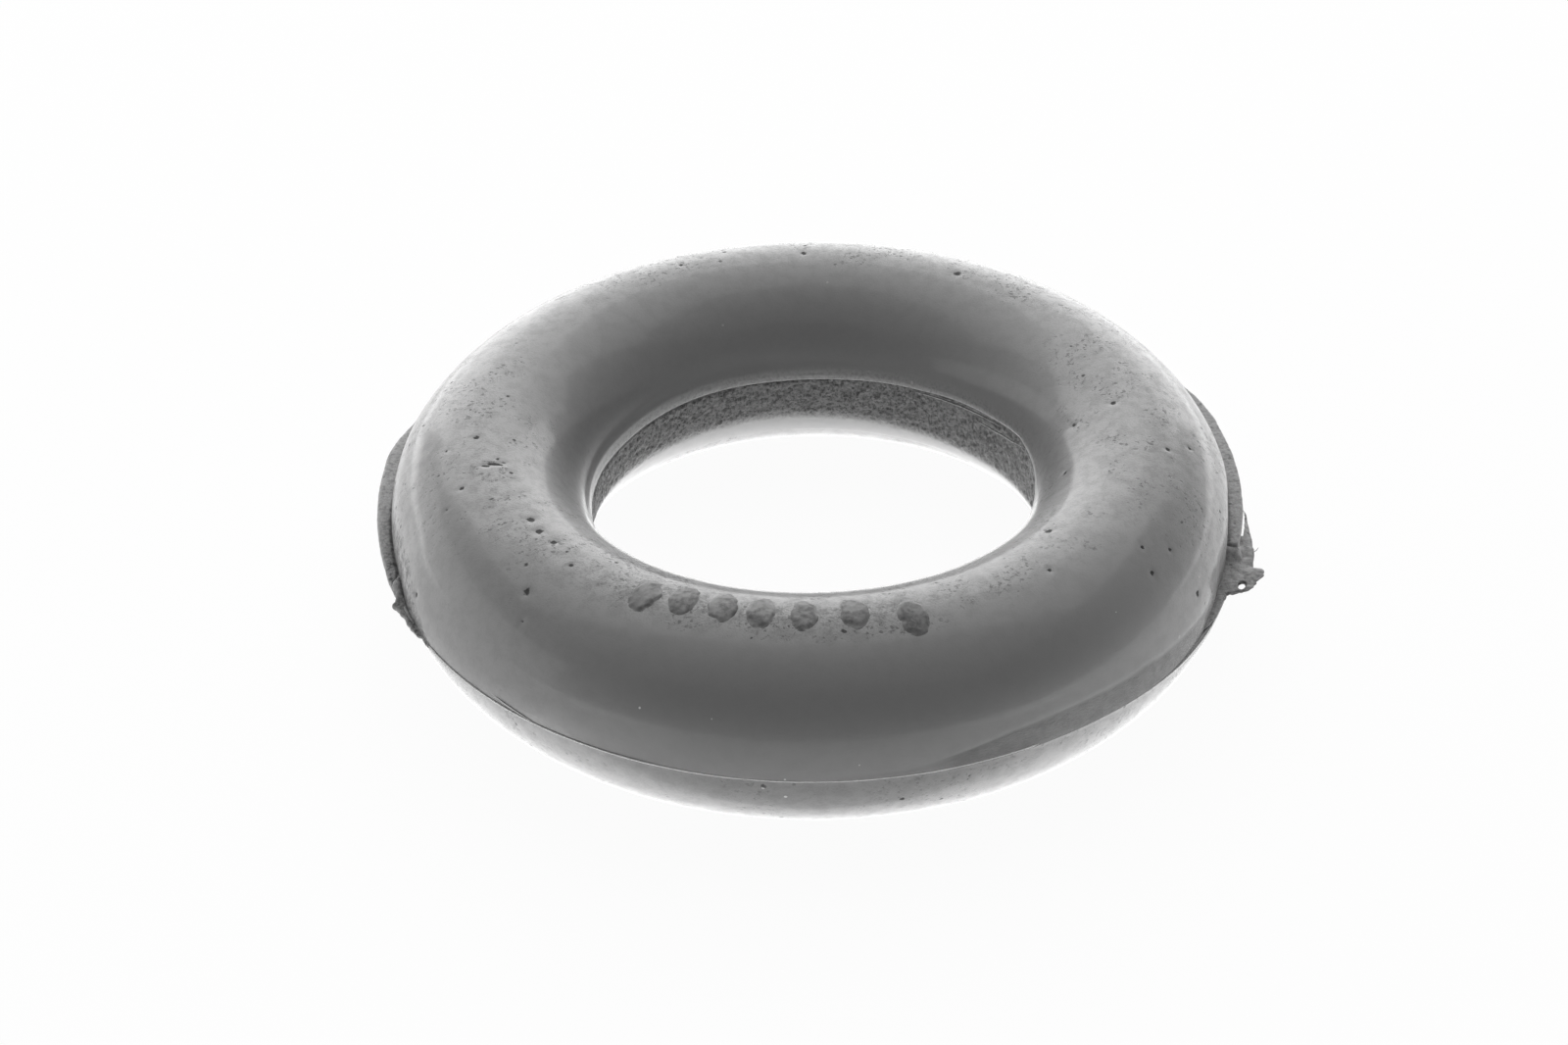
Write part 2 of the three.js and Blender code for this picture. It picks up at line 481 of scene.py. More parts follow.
@dataclass(frozen=True)
class MouldedRubber:
    """Dark satin rubber with a moulded skin, pits and dust, rough where it was torn or trimmed, with a
    highlight painted on the near side and shade painted into the torn grain's hollows.
    """

    grey: float = 0.055
    torn_grey: float = 0.032
    roughness: float = 0.5
    specular: float = 1.0
    sheen: float = 0.25
    coat: float = 0.35
    coat_roughness: float = 0.13
    grain_mm: float = 0.25
    wander_mm: float = 0.3
    wander_scale: float = 2200.0
    front_edge: tuple[float, float] = (-17.0, -22.0)
    blemishes: tuple[Blemish, ...] = ()

    def _dents(self, g: Graph, place: Signal) -> Signal:
        """Mark the blemishes, each with a ragged rim.

        Args:
            g: the material's nodes.
            place: the place on the object.

        Returns:
            A mask that is 1 in the dents.
        """
        ragged = (g.noise(place, 0.22, 2.0) - 0.5) * 0.9
        dents = ragged * 0.0
        for blemish in self.blemishes:
            middle = tuple(c * MM for c in blemish.centre)
            offset = g.vector("SUBTRACT", place, middle).out()
            scaled = g.stretched(offset, tuple(1.0 / (s * blemish.radius * MM) for s in blemish.stretch))
            reach = g.vector("LENGTH", scaled).out("Value")
            dents = dents.larger((reach + ragged).above(1.0, 0.55))
        return dents

    def material(self) -> bpy.types.Material:
        """Build the material.

        Returns:
            The new material.
        """
        made, g = new_material("moulded_rubber")
        place = g.place()
        cut = g.mark("cut")
        torn = g.mark("torn")
        worn = g.mark("worn")
        near_highlight = g.mark("near_highlight")
        cloud = g.noise(place, 8.0, 3.0)
        mottle = g.noise(place, 0.9, 4.0, 0.62)
        speck = g.noise(place, 0.16, 2.0, 0.6)
        busy = g.noise(place, 3.5, 3.0).above(0.4, 0.6) * worn
        wandering = {"Vector": place, "Scale": self.wander_scale, "Detail": 2.0}
        wander = g.node("ShaderNodeTexNoise", {}, wandering)
        bent = g.vector("MULTIPLY_ADD", wander.out("Color"), (self.wander_mm * MM,) * 3, place).out()
        pits = g.dots(bent, 0.9, 0.27, 0.45, 0.14) * busy.above(0.05, 0.5)
        fine = g.dots(bent, 0.4, 0.48, 0.6, 0.2) * busy.above(0.0, 0.7)
        fleck = g.noise(place, 0.4, 4.0, 0.72).above(0.53, 0.65) * busy.above(0.0, 0.6)
        grime = g.noise(place, 0.55, 4.0, 0.7).above(0.52, 0.64) * (worn - 1.0).larger(0.0)
        front = g.node("ShaderNodeSeparateXYZ", {}, [place]).out("Y")
        front = front.above(self.front_edge[0] * MM, self.front_edge[1] * MM)
        dust = g.dots(place, 1.6, 0.1, 0.16, 0.03) * (front * 0.8 + 0.2)
        film = (mottle.above(0.4, 0.65) * 0.55 + speck.above(0.42, 0.65) * 0.45) * (worn * 0.24 + 0.1)
        dark = (pits * 0.8).larger(fine * 0.5).larger(fleck * 0.48).larger(grime * 0.5).larger(film)
        dark = dark.larger(self._dents(g, place) * 0.85) * (1.0 - torn)
        coarse = g.noise(place, self.grain_mm, 3.0, 0.6)
        crumb = g.noise(place, self.grain_mm * 0.4, 2.0, 0.6)
        holes = g.dots(place, self.grain_mm * 2.4, 0.3, 0.35)
        grain = coarse * 0.65 + crumb * 0.35
        skin_tone = (cloud - 0.5) * 0.02 + (mottle - 0.5) * 0.025 + (speck - 0.5) * 0.02
        skin_tone = skin_tone + self.grey - cut * 0.01
        torn_tone = (grain - 0.5) * 0.12 + self.torn_grey
        # near_highlight lightens the tone where a highlight is painted on the near side.
        tone = (skin_tone * (1.0 - torn) + torn_tone * torn).larger(0.01) + dust * 0.35 + near_highlight * 0.15
        rough = (mottle - 0.5) * 0.1 + (cloud - 0.5) * 0.06 + self.roughness
        rough = rough + cut * 0.06 + dust * 0.2 + torn * 0.14
        peel = g.bump(speck * 0.35 + mottle, 0.012)
        worn_land = g.noise(g.stretched(place, (1.0, 1.0, 4.0)), 0.35, 3.0, 0.65)
        scuffed = g.bump(worn_land * cut, 0.05, peel)
        rent = g.bump((grain - holes * 0.4) * torn, 0.1, scuffed)
        sunk = g.bump(1.0 - dark, 0.05, rent)
        # Painted shade: on torn rubber a quarter of the dull black pit shows throughout, and more of it in
        # the grain's hollows.
        hollow_shade = (grain.above(0.54, 0.38) * 0.45 + 0.25) * torn
        share = dark.larger(holes * torn * 0.5).larger(hollow_shade).larger(cut * (mottle.above(0.35, 0.65) * 0.16))
        skin = g.shader(
            Base_Color=g.grey(tone),
            Roughness=rough,
            Specular_IOR_Level=self.specular,
            Coat_Weight=(1.0 - torn.larger(cut * 0.4)) * self.coat,
            Coat_Roughness=self.coat_roughness,
            Sheen_Weight=self.sheen,
            Sheen_Roughness=0.3,
            Normal=sunk,
        )
        g.output(skin, share, sunk)
        return made


@dataclass(frozen=True)
class TornRubber:
    """Rubber of the flash: grey, matt and grainy, with shade painted into its crevices and the grain's
    hollows.
    """

    name: str = "torn_rubber"
    grey: float = 0.12
    roughness: float = 0.6
    grain_mm: float = 0.26
    relief_mm: float = 0.09
    fleck: float = 0.05
    pitted: float = 0.45

    def material(self) -> bpy.types.Material:
        """Build the material.

        Returns:
            The new material.
        """
        made, g = new_material(self.name)
        place = g.place()
        # The dark mark is painted shade in the flash's crevices; on the pads it is their own grime plus shade
        # painted at the near edge.
        dark = g.mark("dark")
        coarse = g.noise(place, self.grain_mm, 3.0, 0.6)
        fine = g.noise(place, self.grain_mm * 0.35, 2.0, 0.6)
        cloud = g.noise(place, 2.4, 3.0)
        tone = (coarse - 0.5) * self.fleck + (fine - 0.5) * self.fleck + (cloud - 0.5) * 0.04 + self.grey
        holes = g.dots(place, self.grain_mm * 2.2, 0.3, 0.4)
        normal = g.bump(coarse * 0.7 + fine * 0.3 - holes * 0.6, self.relief_mm)
        # Painted shade: the dull black pit shows in the holes and the grain's hollows.
        share = (holes * self.pitted).larger(coarse.above(0.5, 0.34) * self.pitted * 0.6)
        share = share.larger(dark * (coarse.above(0.6, 0.4) * 0.5 + 0.4))
        skin = g.shader(
            Base_Color=g.grey(tone.larger(0.012)),
            Roughness=(fine - 0.5) * 0.2 + self.roughness,
            Specular_IOR_Level=0.7,
            Sheen_Weight=0.25,
            Sheen_Roughness=0.35,
            Normal=normal,
        )
        g.output(skin, share, normal)
        return made


@dataclass(frozen=True)
class RingForm:
    """The ring's own measures, which every piece takes its place from."""

    outer_diameter: float = 62.0
    bore_diameter: float = 32.33
    thickness: float = 15.83
    power: float = 1.94
    mould_shift: float = 0.344
    cut_radius: float = 16.585
    cut_offset: float = 0.58
    trim_softness: float = 0.2
    parting: Stops = (
        (-150, -0.45), (-119, -0.38), (-92, -0.5), (-58, -0.5), (-51, -0.58), (-43.5, -0.8),
        (-35, -1.12), (-29, -1.22), (-22, -1.2), (-5, -0.8), (20, -0.5), (180, -0.5),
    )
    land_top: Stops = (
        (-90, -0.3), (-78, -0.12), (-72, 0.5), (-65, 1.15), (-58, 1.32), (-52, 1.3), (-45, 1.12),
        (-42.5, 1.22), (-39.5, 0.95), (-31.5, 0.74), (-27, 0.52), (-24.5, 0.6), (-22.8, 0.9), (-20, 0.7),
        (-16, 0.2), (0, -0.2), (180, -0.3),
    )
    drawn_in: Stops = (
        (-170, 0.6), (-166, 0.64), (-162, 0.56), (-158, 0.34), (-154, 0.1), (-150, 0.0), (-112, 0.0),
        (-98, -0.35), (-42, -0.35), (-36, -0.16), (-28, 0.12), (-22.6, 0.34), (-18, 0.54), (-13.3, 0.5),
        (-8.7, 0.52), (-4, 0.58), (0.8, 0.32), (6, 0.0), (166, 0.0), (171, 0.12), (176, 0.28),
        (181, 0.42), (186, 0.54),
    )
    soiled: Stops = (
        (-180, -0.6), (-174, 1.4), (-170, 2.4), (-165, 2.9), (-159, 2.9), (-156, 2.2), (-151, 0.6),
        (-146, -1.5), (170, -1.5),
    )
    grain_end: Stops = (
        (-170, -2.4), (127, -2.45), (102, -2.35), (87, -2.53), (68, -2.78), (46, -3.08), (32, -2.98),
        (0, -2.9), (-60, -2.6),
    )
    lip: Stops = (
        (-150, 0.4), (-90, 0.6), (-30, 1.5), (5, 2.3), (19, 2.4), (33, 1.84), (47, 1.52), (58, 1.21),
        (68, 1.09), (82, 0.88), (96, 0.81), (110, 0.86), (123, 0.86), (135, 0.72), (149, 0.5),
        (180, 0.45),
    )

    @property
    def half_width(self) -> float:
        """Half of the section's width."""
        return (self.outer_diameter - self.bore_diameter) / 4.0

    @property
    def half_height(self) -> float:
        """Half of the ring's thickness."""
        return self.thickness / 2.0

    @property
    def middle_radius(self) -> float:
        """Radius of the ring's centre line."""
        return (self.outer_diameter + self.bore_diameter) / 4.0

    @property
    def outer_radius(self) -> float:
        """Radius of the ring's outside."""
        return self.outer_diameter / 2.0

    def section(self, angle: np.ndarray) -> tuple[np.ndarray, np.ndarray]:
        """Give radius and height at an angle round the section, in radians.

        Args:
            angle: 0 on the outside, a quarter turn on the crown.

        Returns:
            The radius and the height.
        """
        across, up = np.cos(angle), np.sin(angle)
        power = 2.0 / self.power
        radius = self.middle_radius + self.half_width * np.sign(across) * np.abs(across) ** power
        return radius, self.half_height * np.sign(up) * np.abs(up) ** power

    def angle_at(self, height: np.ndarray) -> np.ndarray:
        """Give the section's angle at a height, on the outside, in radians."""
        share = np.clip(np.abs(height) / self.half_height, 0.0, 1.0)
        return np.sign(height) * np.arcsin(share ** (self.power / 2.0))

    def turn(self, radius: np.ndarray, height: np.ndarray) -> np.ndarray:
        """Give how far round the section a point lies, in degrees up from the outside."""
        across = (radius - self.middle_radius) / self.half_width
        return np.degrees(np.arctan2(height / self.half_height, across))

    def wall(self, height: np.ndarray, outside: bool) -> np.ndarray:
        """Give the radius of the outer or the bore wall at a height.

        Args:
            height: heights above mid-height.
            outside: whether the outer wall is meant, not the bore's.

        Returns:
            The radius at each height.
        """
        share = np.clip(np.abs(height) / self.half_height, 0.0, 1.0)
        reach = self.half_width * (1.0 - share**self.power) ** (1.0 / self.power)
        return self.middle_radius + (reach if outside else -reach)

    def trimmed(self, degrees: np.ndarray, radius: np.ndarray) -> np.ndarray:
        """Draw the outer wall in beside the flash: flat on the right, rounded on the left.

        Args:
            degrees: the angles round the ring.
            radius: the radius of the untrimmed wall.

        Returns:
            The radius of the trimmed wall.
        """
        soft = self.trim_softness
        drawn = 1.15 * around(degrees, self.drawn_in) - 1.1 * soft
        flat = -soft * np.logaddexp(-radius / soft, (drawn - self.outer_radius) / soft)
        reach = np.clip((radius - self.middle_radius) / self.half_width, 0.0, 1.0)
        rounded = radius - soft * np.logaddexp(0.0, drawn / soft) * reach**2
        left = around(degrees, ((-150, 1.0), (-120, 0.0), (120, 0.0), (150, 1.0)))
        low = eased(-reach, -0.75, -0.6) * (1.0 - left)
        return radius * low + (flat * (1.0 - left) + rounded * left) * (1.0 - low)

    def cut(self, degrees: np.ndarray) -> np.ndarray:
        """Give the radius of the torn land in the bore.

        Args:
            degrees: angles round the ring.

        Returns:
            The radius from the ring's own axis.
        """
        angle = np.radians(degrees)
        sideways = self.cut_offset * np.sin(angle)
        return self.cut_offset * np.cos(angle) + np.sqrt(self.cut_radius**2 - sideways**2)

    def lower_bore(self, degrees: np.ndarray, height: np.ndarray) -> np.ndarray:
        """Give the radius of the lower half's bore wall, from the ring's own axis."""
        return self.wall(height, False) + self.mould_shift * np.cos(np.radians(degrees))


def ring_points(degrees: np.ndarray, radius: np.ndarray, height: np.ndarray) -> np.ndarray:
    """Turn angle, radius and height into places.

    Args:
        degrees: angles round the ring.
        radius: distance from the axis.
        height: distance above mid-height.

    Returns:
        x, y and z, last in the array.
    """
    degrees, radius, height = np.broadcast_arrays(degrees, radius, height)
    angle = np.radians(degrees)
    return np.stack((radius * np.cos(angle), radius * np.sin(angle), height), -1)


@dataclass
class MouldHalf:
    """Half of the ring's moulded skin, above or below the parting line."""

    form: RingForm
    material: bpy.types.Material
    upper: bool
    columns: int
    rows: int
    waviness: float = 0.035
    edge_round: float = 0.16
    lip_reach: float = 0.2
    lip_height: float = 1.5
    groove_depth: float = 0.035
    groove_width: float = 0.14
    ridge: float = 0.006
    hand_over: float = -4.6
    dent_depth: float = 0.1
    dents: tuple[Blemish, ...] = ()
    speckled: tuple[tuple[float, Stops], ...] = ()

    def _angles(self) -> np.ndarray:
        """Give the angles round the ring, one for each column."""
        return np.linspace(-180.0, 180.0, self.columns, endpoint=False)

    def _upper_rows(self, degrees: np.ndarray) -> tuple[np.ndarray, ...]:
        """Lay out the upper half from the parting line over the crown to the bore's lip.

        Args:
            degrees: the angle of each column.

        Returns:
            Radius, height, how far each point lies in the trimmed land and how torn it is.
        """
        form = self.form
        parting = around(degrees, form.parting)
        top = np.maximum(around(degrees, form.land_top), parting + 0.25)
        face = form.wall(top, True)
        brink = form.wall(parting, True) + form.mould_shift * np.cos(np.radians(degrees))
        flush = np.maximum(face, brink + 0.03)
        deep = eased(top - parting, 0.5, 1.2)
        radii = [face - 0.5, flush - 0.012, flush, flush]
        heights = [parting - 0.08, parting - 0.08, parting - 0.07, parting - 0.055]
        steps = 14
        for step in range(1, steps + 1):
            height = parting + (top - parting) * (step / steps) ** 2
            below = (top - height) / self.groove_width
            groove = self.groove_depth * deep * np.exp(-((below - 1.0) ** 2))
            flare = (flush - face) * (top - height) / (top - parting)
            radii.append(np.minimum(form.wall(height, True), face) + flare - groove)
            heights.append(height)
        cut = [deep] * (len(radii) - 1) + [0.0 * deep]
        lip = around(degrees, form.lip)
        edge = self.edge_round
        start = form.angle_at(top)
        end = np.pi - form.angle_at(lip + edge)
        count = self.rows - len(radii) - 3
        for step in range(1, count + 1):
            share = step / count
            share = 0.06 * share + 0.94 * share**1.12
            radius, height = form.section(start + (end - start) * share)
            ridge = self.ridge * deep * np.exp(-(((height - top - 0.3) / 0.3) ** 2))
            radii.append(radius + np.where(radius > form.middle_radius, ridge, 0.0))
            heights.append(height)
            cut.append(np.zeros_like(degrees))
        wall = form.wall(lip, False)
        radii += [wall + 0.3 * edge, wall + edge, wall + 0.9]
        heights += [lip + 0.3 * edge, lip, lip]
        cut += [np.zeros_like(degrees)] * 3
        radius, height = np.array(radii), np.array(heights)
        drop = 1.0 - eased(height - lip, self.lip_height * 0.8, self.lip_height)
        side = around(degrees, ((-170, 1.0), (-120, 0.0), (60, 0.0), (105, 0.75), (150, 1.0)))
        outside = radius > form.middle_radius
        radius = radius - np.where(outside, 0.0, self.lip_reach * drop * side)
        radius = np.where(outside, form.trimmed(degrees, radius), radius)
        near_lip = (1.0 - eased(height - lip, 0.1, 1.5)) * ~outside * 0.5
        return radius, height, np.array(cut), near_lip

    def _lower_rows(self, degrees: np.ndarray) -> tuple[np.ndarray, ...]:
        """Lay out the lower half from low in the bore, under the ring, to the parting line.

        Args:
            degrees: the angle of each column.

        Returns:
            Radius, height and zeros for the land and the tear.
        """
        form = self.form
        parting = around(degrees, form.parting)
        start = np.pi - form.angle_at(np.full_like(degrees, self.hand_over))
        edge = self.edge_round
        end = 2.0 * np.pi + form.angle_at(parting - edge)
        radii, heights = [], []
        count = self.rows - 4
        for step in range(count):
            radius, height = form.section(start + (end - start) * step / (count - 1))
            radii.append(radius)
            heights.append(height)
        face = form.wall(parting, True)
        radii += [face + 0.02, face - 0.02, face - edge, face - 0.9]
        heights += [parting - 0.4 * edge, parting, parting + 0.3 * edge, parting + 0.3 * edge]
        radius, height = np.array(radii), np.array(heights)
        return radius, height, np.zeros_like(radius), np.zeros_like(radius)

    def _worn(self, degrees: np.ndarray, radius: np.ndarray, height: np.ndarray) -> np.ndarray:
        """Say how speckled the skin is at each point.

        Args:
            degrees: the angle of each column.
            radius: the points' distance from the axis.
            height: the points' height.

        Returns:
            About 0 where it is clean, 1 where it is worn and 2 where grime sticks.
        """
        if not self.speckled:
            return np.full_like(radius, 0.4)
        form = self.form
        turn = form.turn(radius, height)
        bands = [band for band, _ in self.speckled]
        levels = np.array([around(degrees, stops) for _, stops in self.speckled])
        place = np.clip(np.interp(turn, bands, np.arange(len(bands))), 0, len(bands) - 1.001)
        low = place.astype(int)
        column = np.broadcast_to(np.arange(len(degrees)), turn.shape)
        part = place - low
        worn = levels[low, column] * (1.0 - part) + levels[low + 1, column] * part
        side = eased(radius, form.middle_radius, form.middle_radius + 3.0)
        return np.maximum(worn, 2.2 * side * eased(around(degrees, form.soiled) - height, -0.45, 0.35))

    def _near_highlight(self, degrees: np.ndarray, radius: np.ndarray, height: np.ndarray) -> np.ndarray:
        """Paint a highlight into the near side's tone: a pale band at the bore's brink, standing in for the
        bright grazing reflection there, and a paler strip along the parting line.

        Args:
            degrees: the angle of each column.
            radius: the points' distance from the axis.
            height: the points' height.

        Returns:
            About 0 where nothing is painted and 1 where the painted highlight is brightest.
        """
        form = self.form
        turn = form.turn(radius, height)
        near = around(degrees, ((-160, 0.0), (-140, 1.0), (-40, 1.0), (-20, 0.0)))
        above = np.abs(height - around(degrees, form.parting))
        # Painted highlight: a paler strip along the parting line, on the upper half's outside.
        parting_highlight = 0.18 * (1.0 - eased(above, 0.05, 0.35)) * (radius > form.middle_radius) * self.upper
        return near * (eased(turn, 108.0, 122.0) * (1.0 - eased(turn, 140.0, 155.0)) + parting_highlight)

    def build(self) -> bpy.types.Object:
        """Build the half and dress it.

        Returns:
            The finished piece.
        """
        degrees = self._angles()
        rows = self._upper_rows if self.upper else self._lower_rows
        radius, height, cut, torn = rows(degrees)
        worn = self._worn(degrees, radius, height)
        near_highlight = self._near_highlight(degrees, radius, height)
        points = ring_points(degrees, radius, height)
        centre = ring_points(degrees, np.full_like(degrees, self.form.middle_radius), np.zeros_like(degrees))
        outward = points - centre
        outward /= np.linalg.norm(outward, axis=-1, keepdims=True)
        calm = eased(height - np.min(height) if self.upper else -height, 0.6, 3.0)
        wave = Lumps(5).rough(points, 7.0, 3) * self.waviness * calm
        for dent in self.dents:
            offset = (points - np.array(dent.centre)) / (np.array(dent.stretch) * dent.radius)
            wave -= self.dent_depth * np.exp(-np.sum(offset**2, -1))
        points = points + outward * wave[..., None]
        if not self.upper:
            points[..., 0] += self.form.mould_shift
        name = "ring_upper_half" if self.upper else "ring_lower_half"
        piece = grid_object(name, points, marks={"cut": cut, "torn": torn, "worn": worn, "near_highlight": near_highlight})
        if self.upper:
            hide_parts(NODE)
        return seat(piece, self.material)


@dataclass
class BoreLand:
    """The bore's wall below the lip, rough where the membrane was torn out."""

    form: RingForm
    material: bpy.types.Material
    columns: int = 1350
    rows: int = 70
    grain: float = 0.14
    bottom: float = -5.6
    softness: float = 0.16

    def build(self) -> bpy.types.Object:
        """Build the wall and dress it.

        Returns:
            The finished piece.
        """
        form = self.form
        degrees = np.linspace(-180.0, 180.0, self.columns, endpoint=False)
        lip = around(degrees, form.lip)
        cut = form.cut(degrees)
        grain_end = around(degrees, form.grain_end)
        radii = [cut + 0.9]
        heights = [lip - 0.01]
        for step in range(self.rows):
            share = step / (self.rows - 1)
            height = lip - 0.01 + (self.bottom - lip) * (0.75 * share + 0.25 * share**2)
            groove = 0.06 * np.exp(-(((lip - height - 0.16) / 0.17) ** 2))
            wall = form.lower_bore(degrees, height)
            blend = self.softness * np.logaddexp(cut / self.softness, wall / self.softness)
            radii.append(blend - 0.02 + groove)
            heights.append(height)
        radius, height = np.array(radii), np.array(heights)
        points = ring_points(degrees, radius, height)
        torn = eased(height - grain_end, -0.95, 0.4) * eased(lip - height, 0.02, 0.3)
        slant = np.stack(
            (np.radians(degrees) * form.cut_radius + height * 0.45, height * 0.6, np.zeros_like(height)), -1
        )
        strands = Lumps(11).rough(slant, 0.42, 3)
        crumbs = Lumps(12).rough(points, 0.34, 3)
        wide = Lumps(13).rough(points, 2.2, 2)
        right = around(degrees, ((-60, 0.8), (40, 1.0), (80, 0.6), (120, 0.25), (170, 0.1)))
        relief = strands * right + crumbs * (1.0 - 0.5 * right)
        away = self.grain * torn * relief * (1.0 + 0.4 * wide) + 0.04 * wide * eased(torn, 0.0, 0.3)
        dive = 0.12 * eased(-height, -self.bottom - 1.0, -self.bottom)
        points = ring_points(degrees, radius + away + dive, height)
        piece = grid_object("bore_torn_land", points, marks={"torn": torn})
        return seat(piece, self.material)


@dataclass
class FlashBead:
    """A band of flash that stands out at the parting line."""

    form: RingForm
    material: bpy.types.Material
    name: str
    reach: Stops
    thickness: float = 1.1
    middle: float = -0.5
    root: float = 29.3
    columns: int = 900
    droop: float = 0.36
    uneven: float = 0.04
    fine: float = 0.02
    edge: Stops = ((-10, 0.14), (30, 0.2), (90, 0.4), (210, 0.4))
    # How sunk the joint beside the band is; it deepens the groove and sets the painted shade there.
    sunk: Stops = ((-10, 0.04), (175, 0.04), (188, 0.22), (198, 0.3), (210, 0.1))

    def build(self) -> bpy.types.Object:
        """Build the band and dress it.

        Returns:
            The finished piece.
        """
        form = self.form
        degrees = np.linspace(self.reach[0][0], self.reach[-1][0], self.columns)
        reach = between(degrees, self.reach)
        line = ring_points(degrees, np.full_like(degrees, form.outer_radius), np.zeros_like(degrees))
        reach = reach + self.uneven * Lumps(21).rough(line, 1.6, 3)
        reach = reach + self.fine * Lumps(22).rough(line, 0.3, 2)
        ends = np.minimum(degrees - degrees[0], degrees[-1] - degrees)
        blunt = eased(ends, 0.0, 0.6)
        half = self.thickness / 2.0 * eased(reach, -0.5, 0.25) * (0.2 + 0.8 * blunt)
        middle = self.middle - self.droop * (1.0 - blunt) * (degrees < 90.0)
        edge = np.minimum(between(degrees, self.edge), 0.9 * half)
        tip = form.outer_radius + reach
        outline: list[tuple[np.ndarray, np.ndarray]] = []
        for share in np.linspace(0.0, 1.0, 7)[:-1]:
            outline.append((self.root + (tip - edge - self.root) * share, -half))
        for turn in np.radians(np.linspace(-90.0, 0.0, 6)):
            outline.append((tip - edge + edge * math.cos(turn), -half + edge + edge * math.sin(turn)))
        for turn in np.radians(np.linspace(0.0, 90.0, 6)):
            outline.append((tip - edge + edge * math.cos(turn), half - edge + edge * math.sin(turn)))
        for share in np.linspace(1.0, 0.0, 30)[1:]:
            outline.append((self.root + (tip - edge - self.root) * share, half))
        radius = np.array([np.broadcast_to(r, degrees.shape) for r, _ in outline]).T
        height = np.array([np.broadcast_to(h, degrees.shape) for _, h in outline]).T
        points = ring_points(degrees[:, None], radius, height + middle[:, None])
        upper = eased(height, 0.0, 0.3)
        joint = radius - (form.outer_radius - between(degrees, self._folded(form.drawn_in)))[:, None]
        groove = np.exp(-(((joint - 0.08) / 0.16) ** 2)) + 0.5 * (1.0 - eased(joint, 0.0, 1.1))
        mottle = Lumps(23).rough(points, 0.45, 3)
        sunk = between(degrees, self.sunk)[:, None]
        points[..., 2] -= upper * groove * (0.07 + 0.36 * sunk) * (1.0 + 0.7 * mottle)
        points[..., 2] -= upper * 0.03 * Lumps(24).rough(points, 0.4, 2)
        # Painted shade: a darker band beside the joint with the body, stronger where the joint is sunk.
        band = np.exp(-(((joint - 0.4) / 0.75) ** 2)) * (0.75 + 0.75 * mottle)
        dark = upper * np.clip(band * np.clip(sunk - 0.06, 0.0, None) * 4.5, 0.0, 1.0)
        piece = grid_object(self.name, points, capped=True, marks={"dark": dark})
        return seat(piece, self.material)

    @staticmethod
    def _folded(stops: Stops) -> Stops:
        """Carry a table for the whole circle on from 180 to 212 degrees."""
        low = tuple((a, v) for a, v in stops if a > -40.0)
        return low + tuple((a + 360.0, v) for a, v in stops if a < -145.0)


BEAD_REACH: Stops = (
    (-10.1, -0.6), (-10.0, 0.05), (-9.77, 0.33), (-9.2, 0.44), (-8.57, 0.48), (-7.4, 0.52), (-5.73, 0.6),
    (-3.72, 0.74), (-0.73, 0.92), (0.6, 0.95), (3.0, 1.08), (4.8, 1.19), (6.8, 1.31), (9.2, 1.44),
    (11.6, 1.6), (14.0, 1.74), (16.5, 1.89), (18.0, 1.99), (20.3, 2.22), (25.9, 2.45), (45, 2.4),
    (65, 2.25), (90, 2.15), (115, 2.25), (140, 2.1), (159, 1.66), (161.3, 1.75), (163.3, 1.82),
    (165.3, 1.82), (167.2, 1.75), (169.7, 1.53), (172.7, 1.33), (175.6, 1.15), (179.5, 0.9),
    (183.1, 0.74), (185.9, 0.59), (189.0, 0.46), (192.2, 0.36), (195.3, 0.3), (197.6, 0.16),
    (198.4, 0.05), (198.8, -0.5),
)

FRINGE_REACH: Stops = (
    (197.2, -0.3), (198.4, 0.1), (199.5, 0.22), (200.3, 0.4), (200.8, 0.64), (201.2, 0.55), (202.3, 0.4),
    (203.5, 0.28), (205.1, 0.36), (206.9, 0.28), (208.0, 0.22), (208.8, -0.02), (210.2, 0.04),
    (212.5, -0.06), (215.0, -0.3),
)


